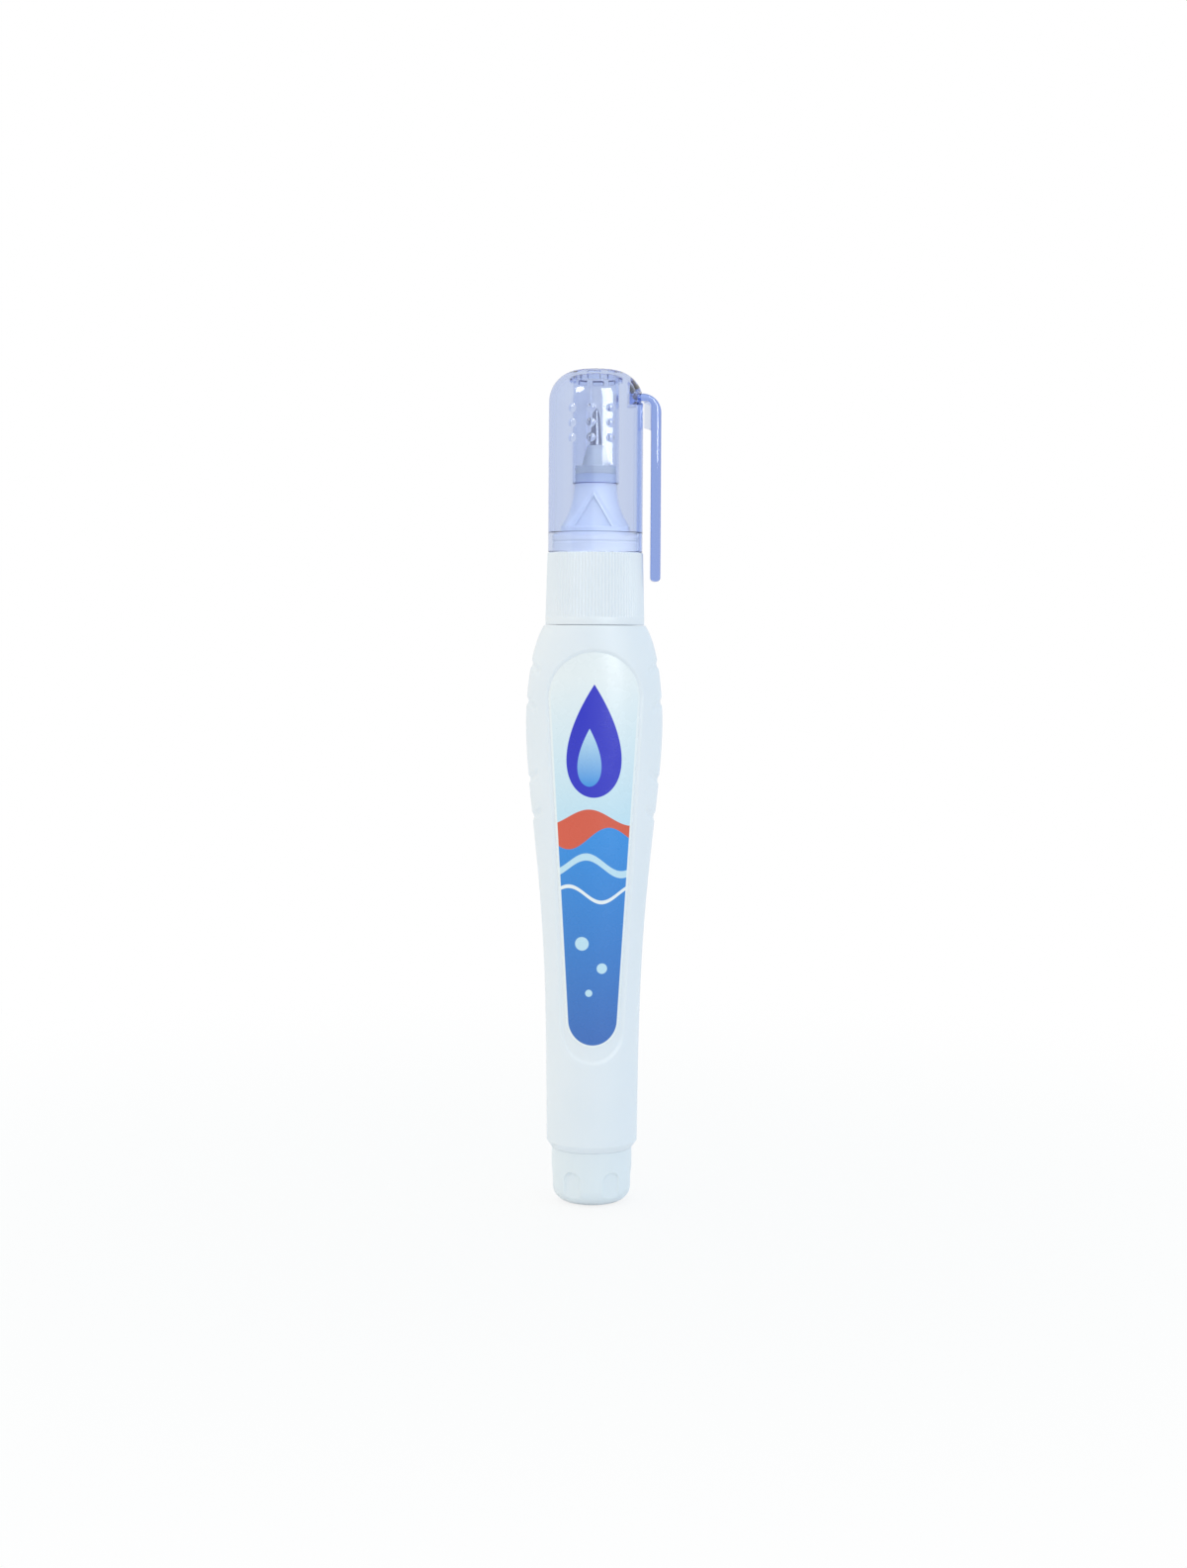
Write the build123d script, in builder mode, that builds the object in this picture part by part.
from build123d import *
import os
from math import asin, cos, dist, radians, sin, tau

# Correction pen, standing on its end plug with the cap on.
# The origin is the centre of the plug's flat foot, +Z runs up the pen, the label faces -Y
# and the pocket clip is on the +X side. All sizes are in millimetres.

# End plug
PLUG_STEP = 0.8
PLUG_LENGTH = 8.5
PLUG_BAND = 3.0
PLUG_DRAFT = 0.1
PLUG_EDGE_ROUND = 2.7
PLUG_FLOOR = 2.0
PLUG_WALL = 1.0
SPIGOT_LENGTH = 6.0
FLUTE_COUNT = 6
FLUTE_WIDTH = 2.7
FLUTE_TOP_GAP = 0.2
FLUTE_DEPTH = 0.4

# Bottle
BOTTLE_LENGTH = 81.5
BOTTLE_WALL = 1.2
BARREL_RADIUS = 7.05
LIP_CHAMFER = 0.75
LIP_CHAMFER_HEIGHT = 1.05
BELLY_HALF_WIDTH = 10.7
BELLY_BULGE = 0.3
BARREL_DRAFT = 0.7
SWELL_POWER = 1.9
SHOULDER_HEIGHT = 15.6
SHOULDER_LEDGE = 0.15
SHOULDER_SWEEP = radians(71.7)
BARREL_STATIONS = 9
SHOULDER_STATIONS = 6
NECK_WALL = 1.0
NECK_LENGTH = 10.0
BEAD_RISE = 2.6
BEAD_HEIGHT = 1.2
BEAD_STEP = 0.25

# Finger grooves on the narrow sides of the bottle
GROOVE_DROPS = (6.1, 11.9)
GROOVE_WIDTH = 1.2
GROOVE_DEPTH = 0.25
GROOVE_ARCH_RADIUS = 9.0
GROOVE_HALF_SPAN = 4.8

# Label panels, front and back
PANEL_DEPTH = 0.3
PANEL_TOP_RADIUS = 7.35
PANEL_TOP_DROP = 11.25
PANEL_TAIL_RADIUS = 4.75
PANEL_TAIL_RISE = 18.85
LABEL_MARGIN = 0.25
LABEL_TAIL_MARGIN = 0.65
LABEL_TAIL_LIFT = 1.75
LABEL_FILM = 0.12

# Nozzle
COLLAR_HEIGHT = 11.3
COLLAR_DRAFT = 0.25
COLLAR_WALL = 1.75
COLLAR_PLAIN_BAND = 1.1
RIB_COUNT = 88
RIB_DEPTH = 0.14
SEAT_RING_HEIGHT = 2.9
SEAT_RING_EDGE = 0.35
SEAT_GROOVE_WIDTH = 0.5
SEAT_GROOVE_DEPTH = 0.2
SEAT_GROOVE_RISE = 1.4
TRUMPET_LEDGE = 1.04
STEM_FOOT_HEIGHT = 1.1
STEM_RADIUS = 3.3
STEM_HEIGHT = 7.65
SEAL_STEP = 0.08
SEAL_HEIGHT = 1.75
FLAT_STANDOFF = 0.02
FLAT_TURN = -6.0
POCKET_HEIGHT = 4.85
POCKET_HALF_WIDTH = 2.8
POCKET_DEPTH = 0.35
LINER_LENGTH = 4.5
LINER_WALL = 0.75
FUNNEL_HEIGHT = 4.4
STEM_BORE_RADIUS = 2.0

# Tip holder, metal tip, valve needle, spring and spring seat
HOLDER_FLANGE_HEIGHT = 1.3
HOLDER_SPIGOT_LENGTH = 6.2
HOLDER_CONE_RADIUS = 2.2
HOLDER_LIP = 0.13
HOLDER_CONE_HEIGHT = 3.2
HOLDER_PASSAGE_RADIUS = 0.9
TIP_BASE_RADIUS = 1.2
TIP_BASE_LENGTH = 7.6
TIP_ROOT_RADIUS = 0.95
TIP_MOUTH_RADIUS = 0.65
TIP_TUBE_LENGTH = 4.2
TIP_POINT_RADIUS = 0.42
TIP_POINT_LENGTH = 1.2
CHAMBER_RADIUS = 0.85
VALVE_SEAT_DROP = 0.6
VALVE_CONE_HEIGHT = 0.7
NEEDLE_RADIUS = 0.28
NEEDLE_REACH = 0.5
NEEDLE_HEAD_GAP = 0.13
NEEDLE_HEAD_HEIGHT = 1.3
NEEDLE_TAIL_LENGTH = 3.2
SPRING_SEAT_HEIGHT = 0.9
SPRING_SEAT_FLANGE = 0.8
SPRING_SEAT_BORE = 0.35
SPRING_SEAT_SLOT = 0.4
SPRING_SIDE_GAP = 0.17
SPRING_WIRE_RADIUS = 0.1
SPRING_TURNS = 6
SPRING_SAMPLES = 48

# Mixing ball
BALL_RADIUS = 2.5

# Cap
CAP_RADIUS = 7.4
CAP_WALL = 0.8
SKIRT_WALL = 0.55
SKIRT_STEP_GAP = 0.24
CAP_STEP = 0.1
CAP_HEADROOM = 5.19
CROWN_THICKNESS = 0.75
CROWN_ROUND = 5.0
CROWN_INNER_ROUND = 4.2
DOT_ROWS = 3
DOT_COLUMNS = 3
DOT_RADIUS = 1.0
DOT_STAND = 0.24
DOT_ROW_PITCH = 2.3
DOT_COLUMN_ANGLE = 24.0
DOT_TURN = -6.0
DOT_DROP = 8.8
RING_HEIGHT = 1.1
RING_WALL = 0.6
RING_GAPS = 8
RING_GAP_WIDTH = 1.2
RING_TURN = -5.0

# Inner cap
INNER_CAP_WALL = 0.35
INNER_CAP_LEAD = 0.15
INNER_CAP_TOP_DROP = 0.25

# Pocket clip
CLIP_WIDTH = 4.5
CLIP_THICKNESS = 1.6
CLIP_GAP = 1.2
CLIP_LENGTH = 29.35
CLIP_SHOULDER_ROUND = 3.0
CLIP_INNER_ROUND = 0.8
CLIP_END_ROUND = 0.6
CLIP_EDGE_ROUND = 1.0
CLIP_NECK_THICKNESS = 1.2
CLIP_DROP = 4.35
KNUCKLE_RADIUS = 0.8
KNUCKLE_INSET = 1.1
WEB_LENGTH = 4.0
WEB_SLANT = 0.4
WEB_THICKNESS = 0.9
BOSS_WALL = 0.4

# Clearances
SHOULDER_GAP = 0.06
CAP_RIM_GAP = 0.06
CAP_FIT = 0.06
NECK_FIT = 0.06
PLUG_FIT = 0.02
PRESS_FIT = 0.02
INNER_CAP_FIT = 0.05
INNER_CAP_END_GAP = 0.2
NEEDLE_FIT = 0.05
VALVE_GAP = 0.03
SPRING_END_GAP = 0.02
BALL_GAP = 0.05
KNUCKLE_FIT = 0.06
CLIP_SLOT_FIT = 0.15
WEB_GAP = 0.15

# Heights of the joints between the pieces
plug_band_z = PLUG_LENGTH - PLUG_BAND
lip_z = PLUG_LENGTH
taper_z = lip_z + LIP_CHAMFER_HEIGHT
spigot_top_z = lip_z + SPIGOT_LENGTH
shoulder_z = lip_z + BOTTLE_LENGTH
belly_z = shoulder_z - SHOULDER_HEIGHT
panel_top_z = shoulder_z - PANEL_TOP_DROP
panel_tail_z = lip_z + PANEL_TAIL_RISE
label_tail_z = panel_tail_z + LABEL_TAIL_LIFT
neck_top_z = shoulder_z + NECK_LENGTH
collar_z = shoulder_z + SHOULDER_GAP
cap_seat_z = collar_z + COLLAR_HEIGHT
seat_groove_z = cap_seat_z + SEAT_GROOVE_RISE
seat_ring_z = cap_seat_z + SEAT_RING_HEIGHT
stem_foot_z = seat_ring_z + STEM_FOOT_HEIGHT
stem_top_z = seat_ring_z + STEM_HEIGHT
seal_top_z = stem_top_z + SEAL_HEIGHT
holder_top_z = seal_top_z + HOLDER_FLANGE_HEIGHT
holder_cone_z = holder_top_z + HOLDER_CONE_HEIGHT
tip_base_z = holder_cone_z - TIP_BASE_LENGTH
tip_tube_z = holder_cone_z + TIP_TUBE_LENGTH
tip_top_z = tip_tube_z + TIP_POINT_LENGTH
valve_seat_z = holder_cone_z - VALVE_SEAT_DROP
chamber_top_z = valve_seat_z - VALVE_CONE_HEIGHT
needle_top_z = tip_top_z + NEEDLE_REACH
spring_floor_z = tip_base_z + SPRING_SEAT_HEIGHT
cap_rim_z = cap_seat_z + CAP_RIM_GAP
skirt_top_z = seat_ring_z + SKIRT_STEP_GAP
crown_z = needle_top_z + CAP_HEADROOM
cap_top_z = crown_z + CROWN_THICKNESS

# Radii that follow from the fits
plug_radius = BARREL_RADIUS - PLUG_STEP
plug_bore_radius = BARREL_RADIUS - BOTTLE_WALL
collar_top_radius = CAP_RADIUS + CAP_STEP
collar_radius = collar_top_radius + COLLAR_DRAFT
shoulder_radius = collar_radius + SHOULDER_LEDGE
belly_half_depth = shoulder_radius + BELLY_BULGE
neck_radius = collar_radius - COLLAR_WALL
cap_bore_radius = CAP_RADIUS - CAP_WALL
skirt_bore_radius = CAP_RADIUS - SKIRT_WALL
seat_ring_radius = skirt_bore_radius - CAP_FIT
trumpet_radius = seat_ring_radius - SEAT_RING_EDGE - TRUMPET_LEDGE
seal_radius = STEM_RADIUS - SEAL_STEP
tip_socket_radius = TIP_BASE_RADIUS + PRESS_FIT
needle_head_radius = CHAMBER_RADIUS - NEEDLE_HEAD_GAP
spring_radius = CHAMBER_RADIUS - SPRING_WIRE_RADIUS - SPRING_SIDE_GAP
inner_cap_bore = seal_radius + INNER_CAP_FIT
inner_cap_radius = inner_cap_bore + INNER_CAP_WALL
neck_bore_radius = neck_radius - NECK_WALL
liner_radius = neck_bore_radius - NECK_FIT
liner_bore_radius = liner_radius - LINER_WALL


def half_sizes(z):
    """Half width and half depth of the bottle's outside at height z."""
    if z <= belly_z:
        rise = (z - taper_z) / (belly_z - taper_z)
        curve = rise**SWELL_POWER
        swell = curve * curve * (3 - 2 * curve)
        drafted = BARREL_RADIUS + BARREL_DRAFT * rise
        width = drafted + (BELLY_HALF_WIDTH - BARREL_RADIUS - BARREL_DRAFT) * swell
        depth = drafted + (belly_half_depth - BARREL_RADIUS - BARREL_DRAFT) * swell
        return width, depth
    turn = asin((z - belly_z) / (shoulder_z - belly_z) * sin(SHOULDER_SWEEP))
    drop = (1 - cos(turn)) / (1 - cos(SHOULDER_SWEEP))
    width = BELLY_HALF_WIDTH + (shoulder_radius - BELLY_HALF_WIDTH) * drop
    depth = belly_half_depth - BELLY_BULGE * drop
    return width, depth


def bottle_sections(inset, low_z, high_z):
    """Oval sections of the bottle between two heights, drawn in by inset."""
    barrel_step = (belly_z - low_z) / BARREL_STATIONS
    heights = [low_z + barrel_step * i for i in range(BARREL_STATIONS)]
    last_turn = asin((high_z - belly_z) / (shoulder_z - belly_z) * sin(SHOULDER_SWEEP))
    for i in range(SHOULDER_STATIONS):
        turn = last_turn * i / (SHOULDER_STATIONS - 1)
        heights.append(belly_z + (shoulder_z - belly_z) * sin(turn) / sin(SHOULDER_SWEEP))
    sections = []
    for z in heights:
        width, depth = half_sizes(z)
        with BuildSketch(Plane.XY.offset(z)) as section:
            Ellipse(width - inset, depth - inset)
        sections.append(section.sketch.face())
    return sections


# End plug: a cup with a flat foot, a spigot that closes the bottle and grip flutes that run out below
flute_crown_z = plug_band_z - FLUTE_TOP_GAP - FLUTE_WIDTH / 2
with BuildPart() as end_plug:
    Cone(
        plug_radius - PLUG_DRAFT,
        plug_radius,
        plug_band_z,
        align=(Align.CENTER, Align.CENTER, Align.MIN),
    )
    fillet(end_plug.edges().group_by(Axis.Z)[0], radius=PLUG_EDGE_ROUND)
    with BuildSketch(Plane.XY.offset(plug_band_z)):
        Circle(plug_radius)
    extrude(amount=PLUG_BAND)
    with BuildSketch(Plane.XY.offset(lip_z)):
        Circle(plug_bore_radius - PLUG_FIT)
    extrude(amount=SPIGOT_LENGTH)
    with BuildSketch(Plane.XY.offset(PLUG_FLOOR)):
        Circle(plug_bore_radius - PLUG_FIT - PLUG_WALL)
    extrude(amount=spigot_top_z - PLUG_FLOOR, mode=Mode.SUBTRACT)
    for i in range(FLUTE_COUNT):
        flute_plane = Plane.YZ.rotated((0, 0, 360 / FLUTE_COUNT * i))
        with BuildSketch(flute_plane.offset(plug_radius - FLUTE_DEPTH)):
            with Locations((0, flute_crown_z)):
                Circle(FLUTE_WIDTH / 2)
                Rectangle(FLUTE_WIDTH, flute_crown_z, align=(Align.CENTER, Align.MAX))
        extrude(amount=2 * FLUTE_DEPTH, mode=Mode.SUBTRACT)

# Space outside the floor of the two label panels
with BuildPart() as panel_cutter:
    with BuildSketch(Plane.XZ):
        with BuildLine():
            CenterArc((0, panel_top_z), PANEL_TOP_RADIUS, 0, 360)
            CenterArc((0, panel_tail_z), PANEL_TAIL_RADIUS, 0, 360)
        make_hull()
    extrude(amount=BELLY_HALF_WIDTH, both=True)
    loft(bottle_sections(PANEL_DEPTH, taper_z, shoulder_z), mode=Mode.SUBTRACT)

# Space outside the floor of the arched finger grooves
with BuildPart() as groove_cutter:
    with BuildSketch(Plane.YZ):
        for groove_drop in GROOVE_DROPS:
            with Locations((0, shoulder_z - groove_drop - GROOVE_ARCH_RADIUS)):
                Circle(GROOVE_ARCH_RADIUS + GROOVE_WIDTH / 2)
                Circle(GROOVE_ARCH_RADIUS - GROOVE_WIDTH / 2, mode=Mode.SUBTRACT)
        with Locations((0, shoulder_z - GROOVE_DROPS[-1])):
            Rectangle(2 * GROOVE_HALF_SPAN, 2 * GROOVE_DROPS[-1], mode=Mode.INTERSECT)
    extrude(amount=BELLY_HALF_WIDTH + GROOVE_WIDTH, both=True)
    loft(bottle_sections(GROOVE_DEPTH, taper_z, shoulder_z), mode=Mode.SUBTRACT)

# Bottle: a squeezable blown shell with an open tail and a neck that carries the nozzle
with BuildPart() as bottle:
    loft(bottle_sections(0, taper_z, shoulder_z))
    with Locations((0, 0, lip_z)):
        Cone(
            BARREL_RADIUS - LIP_CHAMFER,
            BARREL_RADIUS,
            LIP_CHAMFER_HEIGHT,
            align=(Align.CENTER, Align.CENTER, Align.MIN),
        )
    with BuildSketch(Plane.XY.offset(shoulder_z)):
        Circle(neck_radius)
    extrude(amount=NECK_LENGTH)
    with BuildSketch(Plane.XZ):
        with BuildLine():
            Polyline(
                (neck_radius - BEAD_STEP, shoulder_z + BEAD_RISE - BEAD_HEIGHT / 2),
                (neck_radius, shoulder_z + BEAD_RISE - BEAD_HEIGHT / 2),
                (neck_radius + BEAD_STEP, shoulder_z + BEAD_RISE),
                (neck_radius, shoulder_z + BEAD_RISE + BEAD_HEIGHT / 2),
                (neck_radius - BEAD_STEP, shoulder_z + BEAD_RISE + BEAD_HEIGHT / 2),
                close=True,
            )
        make_face()
    revolve(axis=Axis.Z)
    loft(bottle_sections(BOTTLE_WALL, spigot_top_z, shoulder_z - BOTTLE_WALL), mode=Mode.SUBTRACT)
    with BuildSketch(Plane.XY.offset(lip_z)):
        Circle(plug_bore_radius)
    extrude(amount=SPIGOT_LENGTH, mode=Mode.SUBTRACT)
    with BuildSketch(Plane.XY.offset(neck_top_z)):
        Circle(neck_bore_radius)
    extrude(amount=-NECK_LENGTH - BOTTLE_WALL, mode=Mode.SUBTRACT)
    add(panel_cutter.part, mode=Mode.SUBTRACT)
    add(groove_cutter.part, mode=Mode.SUBTRACT)

# Labels: printed film laid on the floor of each panel
label_blanks = {}
for label_name, label_side in (("front_label", 1), ("back_label", -1)):
    with BuildPart() as label_film:
        loft(bottle_sections(PANEL_DEPTH - LABEL_FILM, taper_z, shoulder_z))
        loft(bottle_sections(PANEL_DEPTH, taper_z, shoulder_z), mode=Mode.SUBTRACT)
        with BuildSketch(Plane.XZ):
            with BuildLine():
                CenterArc((0, panel_top_z), PANEL_TOP_RADIUS - LABEL_MARGIN, 0, 360)
                CenterArc((0, label_tail_z), PANEL_TAIL_RADIUS - LABEL_TAIL_MARGIN, 0, 360)
            make_hull()
        extrude(amount=label_side * BELLY_HALF_WIDTH, mode=Mode.INTERSECT)
    label_blanks[label_name] = label_film

# Nozzle: ribbed collar, seat for the cap, trumpet stem on a low foot with two flats, and the seal land
with BuildPart() as nozzle:
    with BuildSketch(Plane.XZ):
        with BuildLine():
            Polyline(
                (0, collar_z),
                (collar_radius, collar_z),
                (collar_radius, collar_z + COLLAR_PLAIN_BAND),
                (collar_radius - RIB_DEPTH, collar_z + COLLAR_PLAIN_BAND),
                (collar_top_radius - RIB_DEPTH, cap_seat_z),
                (seat_ring_radius, cap_seat_z),
                (seat_ring_radius, seat_groove_z),
                (seat_ring_radius - SEAT_GROOVE_DEPTH, seat_groove_z + SEAT_GROOVE_WIDTH / 2),
                (seat_ring_radius, seat_groove_z + SEAT_GROOVE_WIDTH),
                (seat_ring_radius, seat_ring_z - SEAT_RING_EDGE),
                (seat_ring_radius - SEAT_RING_EDGE, seat_ring_z),
                (trumpet_radius, seat_ring_z),
                (trumpet_radius, stem_foot_z),
            )
            TangentArc((STEM_RADIUS, stem_top_z), (trumpet_radius, stem_foot_z), tangent=(0, -1))
            Polyline(
                (STEM_RADIUS, stem_top_z),
                (seal_radius, stem_top_z),
                (seal_radius, seal_top_z),
                (0, seal_top_z),
                (0, collar_z),
            )
        make_face()
    revolve(axis=Axis.Z)
    rib_rings = []
    for rib_z, rib_radius in (
        (collar_z + COLLAR_PLAIN_BAND, collar_radius),
        (cap_seat_z, collar_top_radius),
    ):
        rib_points = []
        for i in range(2 * RIB_COUNT):
            rib_turn = tau * i / (2 * RIB_COUNT)
            reach = rib_radius - RIB_DEPTH * (i % 2)
            rib_points.append((reach * cos(rib_turn), reach * sin(rib_turn)))
        with BuildSketch(Plane.XY.offset(rib_z), mode=Mode.PRIVATE) as rib_ring:
            Polygon(*rib_points, align=None)
        rib_rings.append(rib_ring.sketch.face())
    loft(rib_rings, ruled=True)
    with BuildSketch(Plane.XZ):
        with BuildLine():
            Polyline(
                (0, collar_z),
                (neck_radius + NECK_FIT, collar_z),
                (neck_radius + NECK_FIT, shoulder_z + BEAD_RISE - BEAD_HEIGHT / 2 - NECK_FIT),
                (neck_radius + BEAD_STEP + NECK_FIT, shoulder_z + BEAD_RISE),
                (neck_radius + NECK_FIT, shoulder_z + BEAD_RISE + BEAD_HEIGHT / 2 + NECK_FIT),
                (neck_radius + NECK_FIT, neck_top_z + NECK_FIT),
                (liner_radius, neck_top_z + NECK_FIT),
                (liner_radius, neck_top_z - LINER_LENGTH),
                (liner_bore_radius, neck_top_z - LINER_LENGTH),
                (liner_bore_radius, neck_top_z),
                (STEM_BORE_RADIUS, neck_top_z + FUNNEL_HEIGHT),
                (STEM_BORE_RADIUS, seal_top_z),
                (0, seal_top_z),
                close=True,
            )
        make_face()
    revolve(axis=Axis.Z, mode=Mode.SUBTRACT)
    for flat_turn in (FLAT_TURN, FLAT_TURN + 180):
        flat_plane = Plane.XZ.rotated((0, 0, flat_turn)).offset(STEM_RADIUS + FLAT_STANDOFF)
        with BuildSketch(flat_plane):
            with Locations((0, stem_foot_z)):
                Rectangle(2 * trumpet_radius, stem_top_z - stem_foot_z, align=(Align.CENTER, Align.MIN))
        extrude(amount=trumpet_radius, mode=Mode.SUBTRACT)
        with BuildSketch(flat_plane):
            with BuildLine():
                Polyline(
                    (-POCKET_HALF_WIDTH, stem_foot_z),
                    (POCKET_HALF_WIDTH, stem_foot_z),
                    (0, stem_foot_z + POCKET_HEIGHT),
                    close=True,
                )
            make_face()
        extrude(amount=-POCKET_DEPTH, mode=Mode.SUBTRACT)

# Tip holder: natural plastic bush pressed into the stem, with a cone that grips the metal tip
with BuildPart() as tip_holder:
    with BuildSketch(Plane.XZ):
        with BuildLine():
            Polyline(
                (HOLDER_PASSAGE_RADIUS, seal_top_z - HOLDER_SPIGOT_LENGTH),
                (STEM_BORE_RADIUS - PRESS_FIT, seal_top_z - HOLDER_SPIGOT_LENGTH),
                (STEM_BORE_RADIUS - PRESS_FIT, seal_top_z),
                (seal_radius, seal_top_z),
                (seal_radius, holder_top_z),
                (HOLDER_CONE_RADIUS, holder_top_z),
                (tip_socket_radius + HOLDER_LIP, holder_cone_z),
                (tip_socket_radius, holder_cone_z),
                (tip_socket_radius, tip_base_z - SPRING_SEAT_FLANGE),
                (HOLDER_PASSAGE_RADIUS, tip_base_z - SPRING_SEAT_FLANGE),
                close=True,
            )
        make_face()
    revolve(axis=Axis.Z)

# Metal tip: turned tube with a pressed-in base, a valve seat and a fine mouth
with BuildPart() as metal_tip:
    with BuildSketch(Plane.XZ):
        with BuildLine():
            Polyline(
                (CHAMBER_RADIUS, tip_base_z),
                (TIP_BASE_RADIUS, tip_base_z),
                (TIP_BASE_RADIUS, holder_cone_z),
                (TIP_ROOT_RADIUS, holder_cone_z),
                (TIP_MOUTH_RADIUS, tip_tube_z),
                (TIP_POINT_RADIUS, tip_top_z),
                (NEEDLE_RADIUS + NEEDLE_FIT, tip_top_z),
                (NEEDLE_RADIUS + NEEDLE_FIT, valve_seat_z),
                (CHAMBER_RADIUS, chamber_top_z),
                close=True,
            )
        make_face()
    revolve(axis=Axis.Z)

# Valve needle: pin with a coned head that shuts the tip until the point is pressed
valve_slope = VALVE_CONE_HEIGHT / (CHAMBER_RADIUS - NEEDLE_RADIUS - NEEDLE_FIT)
needle_shut_z = valve_seat_z - VALVE_GAP
needle_cone_z = needle_shut_z - valve_slope * (needle_head_radius - NEEDLE_RADIUS)
needle_head_z = needle_cone_z - NEEDLE_HEAD_HEIGHT
with BuildPart() as valve_needle:
    with BuildSketch(Plane.XZ):
        with BuildLine():
            Polyline(
                (0, needle_head_z - NEEDLE_TAIL_LENGTH),
                (NEEDLE_RADIUS, needle_head_z - NEEDLE_TAIL_LENGTH),
                (NEEDLE_RADIUS, needle_head_z),
                (needle_head_radius, needle_head_z),
                (needle_head_radius, needle_cone_z),
                (NEEDLE_RADIUS, needle_shut_z),
                (NEEDLE_RADIUS, needle_top_z - NEEDLE_RADIUS),
            )
            RadiusArc((NEEDLE_RADIUS, needle_top_z - NEEDLE_RADIUS), (0, needle_top_z), -NEEDLE_RADIUS)
            Line((0, needle_top_z), (0, needle_head_z - NEEDLE_TAIL_LENGTH))
        make_face()
    revolve(axis=Axis.Z)

# Needle spring: one wire wound in half turns between the spring seat and the needle's head
spring_low_z = spring_floor_z + SPRING_WIRE_RADIUS + SPRING_END_GAP
spring_high_z = needle_head_z - SPRING_WIRE_RADIUS - SPRING_END_GAP
half_pitch = (spring_high_z - spring_low_z) / (2 * SPRING_TURNS)
with BuildPart() as needle_spring:
    with BuildLine() as spring_path:
        for i in range(2 * SPRING_TURNS):
            side = 1 - 2 * (i % 2)
            half_turn_z = spring_low_z + half_pitch * i
            TangentArc(
                (side * spring_radius, 0, half_turn_z),
                (-side * spring_radius, 0, half_turn_z + half_pitch),
                tangent=(0, side, 0),
            )
    with BuildSketch(Plane((spring_radius, 0, spring_low_z), x_dir=(1, 0, 0), z_dir=(0, 1, 0))):
        Circle(SPRING_WIRE_RADIUS)
    sweep()

sample_count = SPRING_SAMPLES * SPRING_TURNS
spring_points = [spring_path.line @ (i / sample_count) for i in range(sample_count + 1)]
spring_gaps = []
for i, low_point in enumerate(spring_points):
    for high_point in spring_points[i + SPRING_SAMPLES // 2:]:
        spring_gaps.append(dist(tuple(low_point), tuple(high_point)) - 2 * SPRING_WIRE_RADIUS)
print(f"least gap between the spring's turns: {min(spring_gaps):.2f} mm")

# Spring seat: slotted bush that stops the spring and lets the fluid past
with BuildPart() as spring_seat:
    with BuildSketch(Plane.XY.offset(tip_base_z - SPRING_SEAT_FLANGE)):
        Circle(TIP_BASE_RADIUS)
    extrude(amount=SPRING_SEAT_FLANGE)
    with BuildSketch(Plane.XY.offset(tip_base_z)):
        Circle(CHAMBER_RADIUS - PRESS_FIT)
    extrude(amount=SPRING_SEAT_HEIGHT)
    with BuildSketch(Plane.XY.offset(tip_base_z - SPRING_SEAT_FLANGE)):
        Circle(SPRING_SEAT_BORE)
        Rectangle(2 * (CHAMBER_RADIUS - PRESS_FIT) - SPRING_SEAT_SLOT, SPRING_SEAT_SLOT)
    extrude(amount=SPRING_SEAT_FLANGE + SPRING_SEAT_HEIGHT, mode=Mode.SUBTRACT)

# Mixing ball: loose steel ball that stirs the fluid, lying in the plug's cup
with BuildPart() as mixing_ball:
    with Locations((0, 0, PLUG_FLOOR + BALL_GAP + BALL_RADIUS)):
        Sphere(BALL_RADIUS)

# Outside of the cap, before it is hollowed
with BuildPart() as cap_blank:
    with BuildSketch(Plane.XY.offset(cap_rim_z)):
        Circle(CAP_RADIUS)
    extrude(amount=cap_top_z - cap_rim_z)
    fillet(cap_blank.edges().group_by(Axis.Z)[-1], radius=CROWN_ROUND)

# Hollow of the cap, wider in the skirt that goes over the nozzle's seat ring
with BuildPart() as cap_core:
    with BuildSketch(Plane.XY.offset(cap_rim_z)):
        Circle(cap_bore_radius)
    extrude(amount=crown_z - cap_rim_z)
    fillet(cap_core.edges().group_by(Axis.Z)[-1], radius=CROWN_INNER_ROUND)
    with BuildSketch(Plane.XY.offset(cap_rim_z)):
        Circle(skirt_bore_radius)
    extrude(amount=skirt_top_z - cap_rim_z)

# Boss inside the cap's shoulder that takes the clip's knuckle
knuckle_x = CAP_RADIUS - KNUCKLE_INSET
knuckle_z = cap_top_z - CLIP_DROP
socket_radius = KNUCKLE_RADIUS + KNUCKLE_FIT
slot_width = CLIP_WIDTH + 2 * CLIP_SLOT_FIT
slot_height = CLIP_NECK_THICKNESS + 2 * CLIP_SLOT_FIT
boss_low_x = knuckle_x - socket_radius - BOSS_WALL
boss_low_z = knuckle_z - socket_radius - BOSS_WALL
with BuildPart() as clip_boss:
    with Locations((boss_low_x, 0, boss_low_z)):
        Box(
            CAP_RADIUS - boss_low_x,
            slot_width + 2 * BOSS_WALL,
            cap_top_z - boss_low_z,
            align=(Align.MIN, Align.CENTER, Align.MIN),
        )
    add(cap_blank.part, mode=Mode.INTERSECT)

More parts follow.
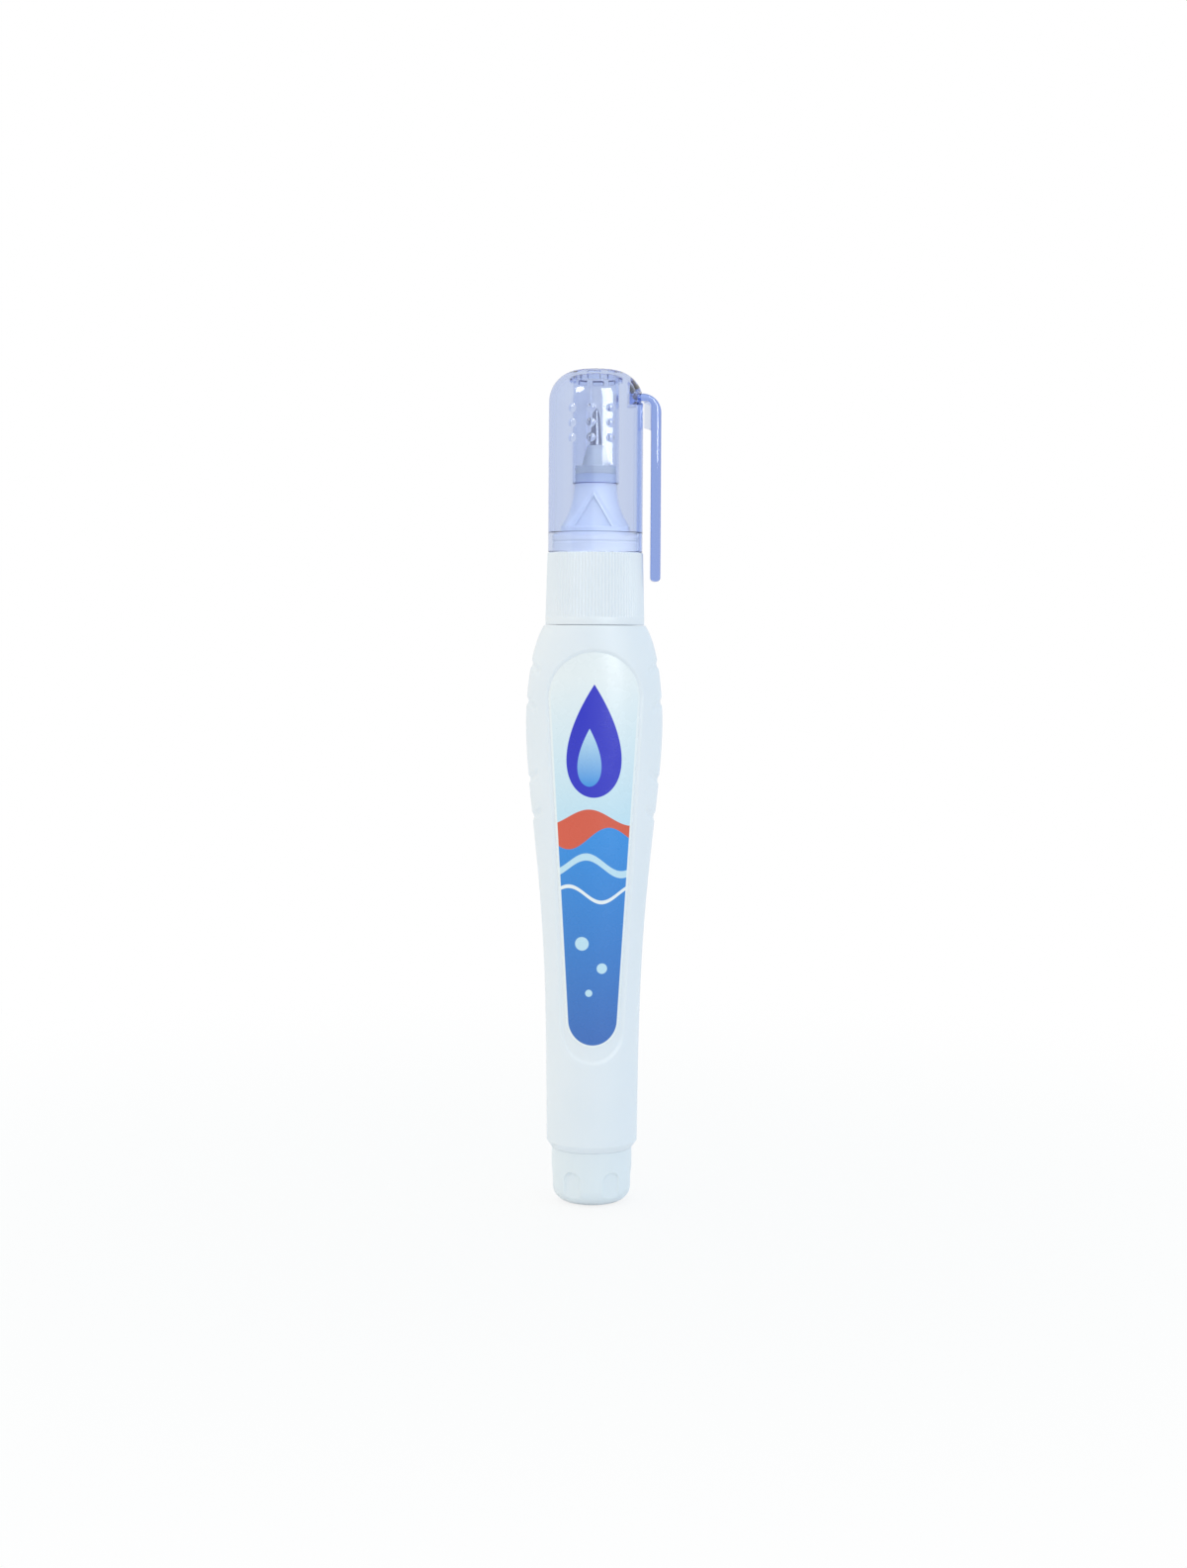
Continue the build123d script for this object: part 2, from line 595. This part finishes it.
# Cap shell: clear moulded cap with raised grip dots, the clip's socket and a ring for the inner cap
dot_reach = CAP_RADIUS + DOT_STAND - DOT_RADIUS
with BuildPart() as cap_shell:
    add(cap_blank.part)
    for row in range(DOT_ROWS):
        for column in range(DOT_COLUMNS):
            dot_turn = radians(DOT_TURN + DOT_COLUMN_ANGLE * (column - (DOT_COLUMNS - 1) / 2))
            dot_z = cap_top_z - DOT_DROP - DOT_ROW_PITCH * (row - (DOT_ROWS - 1) / 2)
            with Locations((dot_reach * sin(dot_turn), -dot_reach * cos(dot_turn), dot_z)):
                Sphere(DOT_RADIUS)
    add(cap_core.part, mode=Mode.SUBTRACT)
    add(clip_boss.part)
    with BuildSketch(Plane.XY.offset(crown_z - RING_HEIGHT)):
        Circle(inner_cap_radius + PRESS_FIT + RING_WALL)
        Circle(inner_cap_radius + PRESS_FIT, mode=Mode.SUBTRACT)
        with PolarLocations(inner_cap_radius + RING_WALL, RING_GAPS, start_angle=180 / RING_GAPS + RING_TURN):
            Rectangle(2 * RING_WALL + RING_GAP_WIDTH, RING_GAP_WIDTH, mode=Mode.SUBTRACT)
    extrude(amount=RING_HEIGHT)
    with BuildSketch(Plane.XZ):
        with Locations((knuckle_x, knuckle_z)):
            Circle(socket_radius)
            Rectangle(2 * KNUCKLE_INSET, slot_height, align=(Align.MIN, Align.CENTER))
    extrude(amount=slot_width / 2, both=True, mode=Mode.SUBTRACT)

# Inner cap: sealing tube pressed into the crown's ring, just short of the dome, closing over the seal land
with BuildPart() as inner_cap:
    with BuildSketch(Plane.XY.offset(stem_top_z + INNER_CAP_END_GAP)):
        Circle(inner_cap_radius)
        Circle(inner_cap_bore, mode=Mode.SUBTRACT)
    extrude(amount=crown_z - INNER_CAP_TOP_DROP - stem_top_z - INNER_CAP_END_GAP)
    chamfer(
        inner_cap.edges().group_by(Axis.Z)[0].sort_by(SortBy.RADIUS)[0],
        length=INNER_CAP_LEAD,
    )

# Pocket clip: round knuckle in the cap's socket, neck, long arm and a thin web under the neck
arm_low_x = CAP_RADIUS + CLIP_GAP
arm_high_x = arm_low_x + CLIP_THICKNESS
neck_low_z = knuckle_z - CLIP_NECK_THICKNESS / 2
neck_high_z = knuckle_z + CLIP_NECK_THICKNESS / 2
arm_end_z = neck_high_z - CLIP_LENGTH
with BuildPart() as pocket_clip:
    with BuildSketch(Plane.XZ):
        with BuildLine():
            Polyline(
                (knuckle_x, neck_low_z),
                (arm_low_x, neck_low_z),
                (arm_low_x, arm_end_z),
                (arm_high_x, arm_end_z),
                (arm_high_x, neck_high_z),
                (knuckle_x, neck_high_z),
                close=True,
            )
        clip_outline = make_face()
        end_corners = clip_outline.vertices().group_by(Axis.Y)[0]
        top_corner = clip_outline.vertices().group_by(Axis.X)[-1].sort_by(Axis.Y)[-1]
        inner_corner = clip_outline.vertices().group_by(Axis.X)[-2].sort_by(Axis.Y)[-1]
        fillet(top_corner, radius=CLIP_SHOULDER_ROUND)
        fillet(end_corners, radius=CLIP_END_ROUND)
        fillet(inner_corner, radius=CLIP_INNER_ROUND)
        with Locations((knuckle_x, knuckle_z)):
            Circle(KNUCKLE_RADIUS)
    extrude(amount=CLIP_WIDTH / 2, both=True)
    arm_edges = pocket_clip.edges().filter_by(Axis.Z).group_by(Axis.X)[-1]
    fillet(arm_edges, radius=CLIP_EDGE_ROUND)
    with BuildSketch(Plane.XZ):
        with BuildLine():
            Polyline(
                (CAP_RADIUS + WEB_GAP, neck_low_z),
                (arm_low_x, neck_low_z),
                (arm_low_x, neck_low_z - WEB_LENGTH - WEB_SLANT),
                (CAP_RADIUS + WEB_GAP, neck_low_z - WEB_LENGTH),
                close=True,
            )
        make_face()
    extrude(amount=WEB_THICKNESS / 2, both=True)

# Every piece is written under its own name
pieces = {
    "end_plug": end_plug,
    "bottle": bottle,
    "nozzle": nozzle,
    "tip_holder": tip_holder,
    "metal_tip": metal_tip,
    "valve_needle": valve_needle,
    "needle_spring": needle_spring,
    "spring_seat": spring_seat,
    "mixing_ball": mixing_ball,
    "cap_shell": cap_shell,
    "inner_cap": inner_cap,
    "pocket_clip": pocket_clip,
}
pieces.update(label_blanks)
os.makedirs("parts", exist_ok=True)
for piece_name, piece in pieces.items():
    piece.part.label = piece_name
    export_step(piece.part, f"parts/{piece_name}.step")
